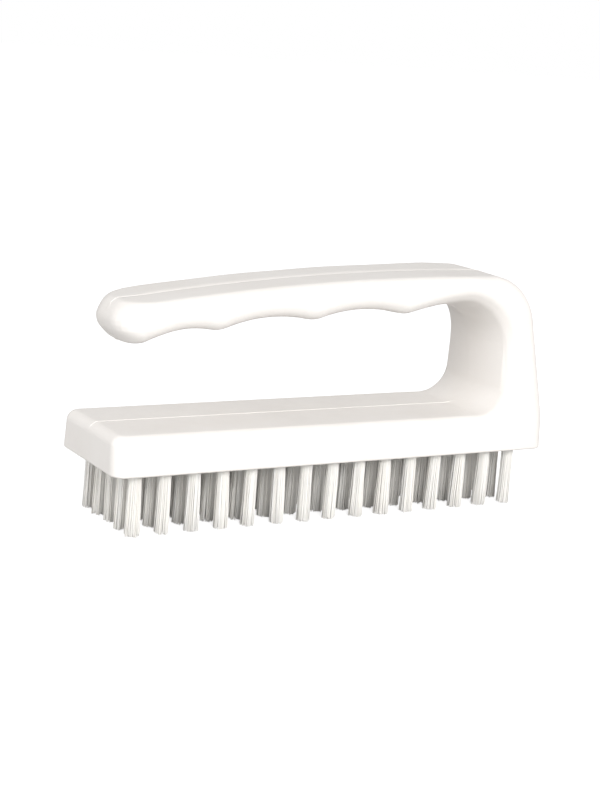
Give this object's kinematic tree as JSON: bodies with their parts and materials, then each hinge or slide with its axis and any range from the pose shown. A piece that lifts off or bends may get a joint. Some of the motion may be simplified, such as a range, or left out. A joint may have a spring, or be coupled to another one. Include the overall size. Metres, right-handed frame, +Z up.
{
  "type": "nail brush",
  "caption": "Hand-held nail brush: a moulded block with an open C-shaped handle, finger grooves and stapled bristle tufts.",
  "frame": {"origin": "under the middle of the block's length, on the mould's parting plane, at the level of the bristle tips", "axes": "+X along the block towards the upright, +Y across the block, +Z up from the bristle tips to the handle"},
  "size_m": [0.118, 0.0314, 0.0578],
  "materials": {
    "moulding": "smooth satin moulded polypropylene, white",
    "bristle": "translucent white polyester filaments, cut ends",
    "staple": "flat drawn stainless wire"
  },
  "bodies": {
    "root": {"brush_body": "moulding", "tuft_column_01": "bristle", "tuft_column_02": "bristle", "tuft_column_03": "bristle", "tuft_column_04": "bristle", "tuft_column_05": "bristle", "tuft_column_06": "bristle", "tuft_column_07": "bristle", "tuft_column_08": "bristle", "tuft_column_09": "bristle", "tuft_column_10": "bristle", "tuft_column_11": "bristle", "tuft_column_12": "bristle", "tuft_column_13": "bristle", "tuft_column_14": "bristle", "tuft_column_15": "bristle", "anchor_column_01": "staple", "anchor_column_02": "staple", "anchor_column_03": "staple", "anchor_column_04": "staple", "anchor_column_05": "staple", "anchor_column_06": "staple", "anchor_column_07": "staple", "anchor_column_08": "staple", "anchor_column_09": "staple", "anchor_column_10": "staple", "anchor_column_11": "staple", "anchor_column_12": "staple", "anchor_column_13": "staple", "anchor_column_14": "staple", "anchor_column_15": "staple"}
  },
  "joints": []
}
